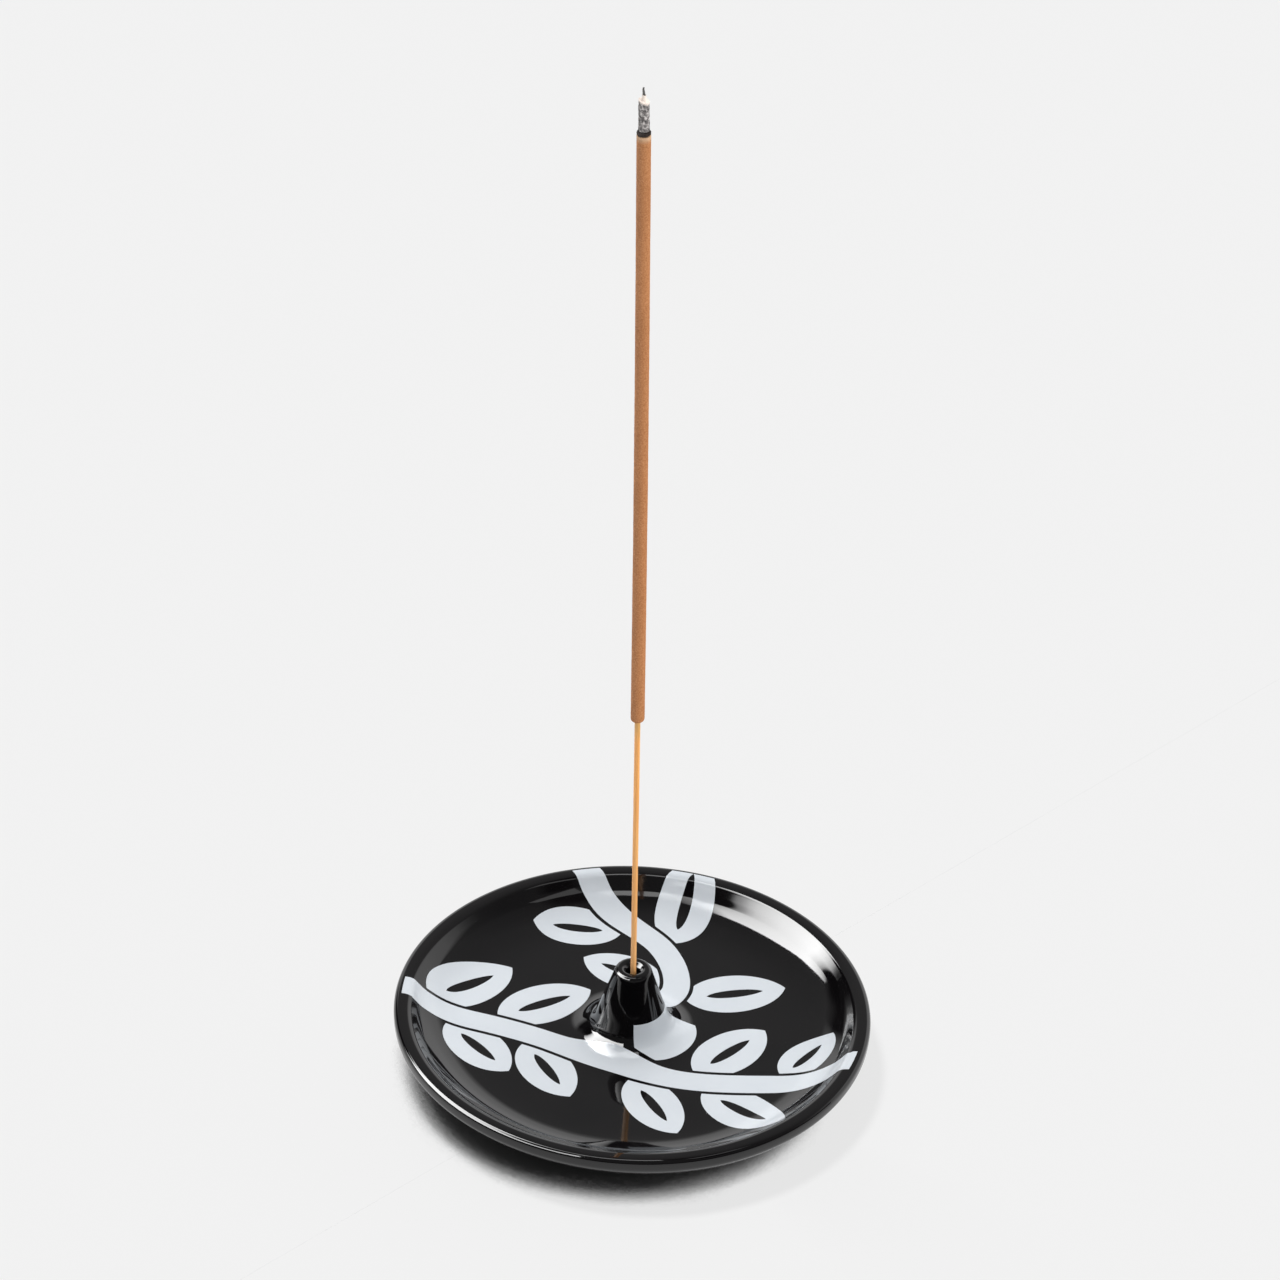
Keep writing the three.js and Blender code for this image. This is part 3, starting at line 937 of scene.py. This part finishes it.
def reflector(name, corners, level, fades=()):
    """A soft panel that only shows in the gloss, with its corners in given directions from the dish."""
    made, tree, shader = material(name)
    coordinates = tree.nodes.new("ShaderNodeTexCoord")
    toward = tree.nodes.new("ShaderNodeVectorMath")
    toward.operation = "NORMALIZE"
    tree.links.new(coordinates.outputs["Object"], toward.inputs[0])
    light = tree.nodes.new("ShaderNodeEmission")
    light.inputs["Strength"].default_value = level
    shares = [stepped(tree, off_axis(tree, toward.outputs["Vector"], azimuth, elevation), stops, 180)
              for azimuth, elevation, stops in fades]
    if shares:
        colour = shares[0]
        for share in shares[1:]:
            colour = mixed(tree, 1.0, colour, share, "MULTIPLY")
        tree.links.new(colour, light.inputs["Color"])
    output = next(n for n in tree.nodes if n.type == "OUTPUT_MATERIAL")
    tree.links.new(light.outputs["Emission"], output.inputs["Surface"])
    tree.nodes.remove(shader)
    points = [direction(*corner) * PANEL_DISTANCE for corner in corners]
    panel = new_mesh(name, points, [tuple(range(len(points)))], made)
    show_in_gloss_only(panel)


def show_in_gloss_only(panel):
    for ray in ("camera", "diffuse", "transmission", "volume_scatter", "shadow"):
        setattr(panel, f"visible_{ray}", False)
    panel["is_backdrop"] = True


def black_flag():
    """A low dark board bent round the front, which keeps the table out of the cone's reflections."""
    made, _, shader = material("black_flag")
    shader.inputs["Base Color"].default_value = (0, 0, 0, 1)
    shader.inputs["Specular IOR Level"].default_value = 0.0
    foot = [direction(azimuth, 0) * FLAG_DISTANCE for azimuth in FLAG_AZIMUTHS]
    top = [corner + Vector((0, 0, FLAG_HEIGHT)) for corner in foot]
    count = len(foot)
    faces = [(k, k + 1, count + k + 1, count + k) for k in range(count - 1)]
    show_in_gloss_only(new_mesh("black_flag", foot + top, faces, made))


def sun(name, azimuth, elevation, spread, strength, only=(), never=()):
    """An even soft lamp that the gloss doesn't show. It lights only some pieces, or all but some."""
    data = bpy.data.lights.new(name, "SUN")
    data.energy = strength
    data.angle = math.radians(spread)
    lamp = bpy.data.objects.new(name, data)
    lamp.rotation_euler = direction(azimuth, elevation).to_track_quat("Z", "Y").to_euler()
    lamp.visible_glossy = False
    lamp.visible_camera = False
    bpy.context.scene.collection.objects.link(lamp)
    group = bpy.data.collections.new(f"{name}_lights")
    for piece in (*only, *never):
        group.objects.link(piece)
    for row in group.collection_objects:
        row.light_linking.link_state = "INCLUDE" if only else "EXCLUDE"
    lamp.light_linking.receiver_collection = group


def lights(table, stick):
    studio_walls()
    reflector("soft_box", SOFT_BOX, SOFT_BOX_LEVEL, SOFT_BOX_FADES)
    reflector("white_card", WHITE_CARD, WHITE_CARD_LEVEL)
    reflector("overhead_strip", STRIP, STRIP_LEVEL)
    black_flag()
    sun("overhead", 0, 80, 120, 2.45, never=[table])
    sun("side", 120, 25, 50, 1.6, only=stick)
    sun("bamboo_fill", -80, 20, 60, 0.8, only=stick[:1])
    sun("rim_light", -49, 68, 10, 2.5, only=[table])


def camera():
    """A long lens that looks down on the burner from in front, rolled a little."""
    data = bpy.data.cameras.new("camera")
    data.sensor_width = SENSOR_WIDTH
    data.lens = LENS_LENGTH
    data.clip_end = 100
    made = bpy.data.objects.new("camera", data)
    bpy.context.scene.collection.objects.link(made)
    aim = Vector((-0.03 * CAD_BOX[1].x, 0, 0.45 * CAD_BOX[1].z))
    back = Vector((0, -math.cos(CAMERA_ELEVATION), math.sin(CAMERA_ELEVATION)))
    level = back.to_track_quat("Z", "Y").to_matrix()
    roll = Matrix.Rotation(CAMERA_ROLL, 3, "Z")
    made.matrix_world = Matrix.Translation(aim + back * CAMERA_DISTANCE) @ (level @ roll).to_4x4()
    bpy.context.scene.camera = made


def main():
    camera()
    dish(glaze())
    print_finish = film()
    sprig("decal_stem_front", FRONT_STEM, FRONT_LEAVES, 1, print_finish)
    sprig("decal_stem_back", BACK_STEM, BACK_LEAVES, len(FRONT_LEAVES) + 1, print_finish)
    stick = [bamboo_core(bamboo()), incense_paste(paste()), ember_band(ember()), ash_column(ash()),
             charred_tip(char())]
    lights(table_top(), stick)
    bpy.context.scene.view_settings.view_transform = "Standard"
    boxes = {"cad": CAD_BOX, "visual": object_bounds()}
    {name: [list(corner) for corner in box] for name, box in boxes.items()}


main()
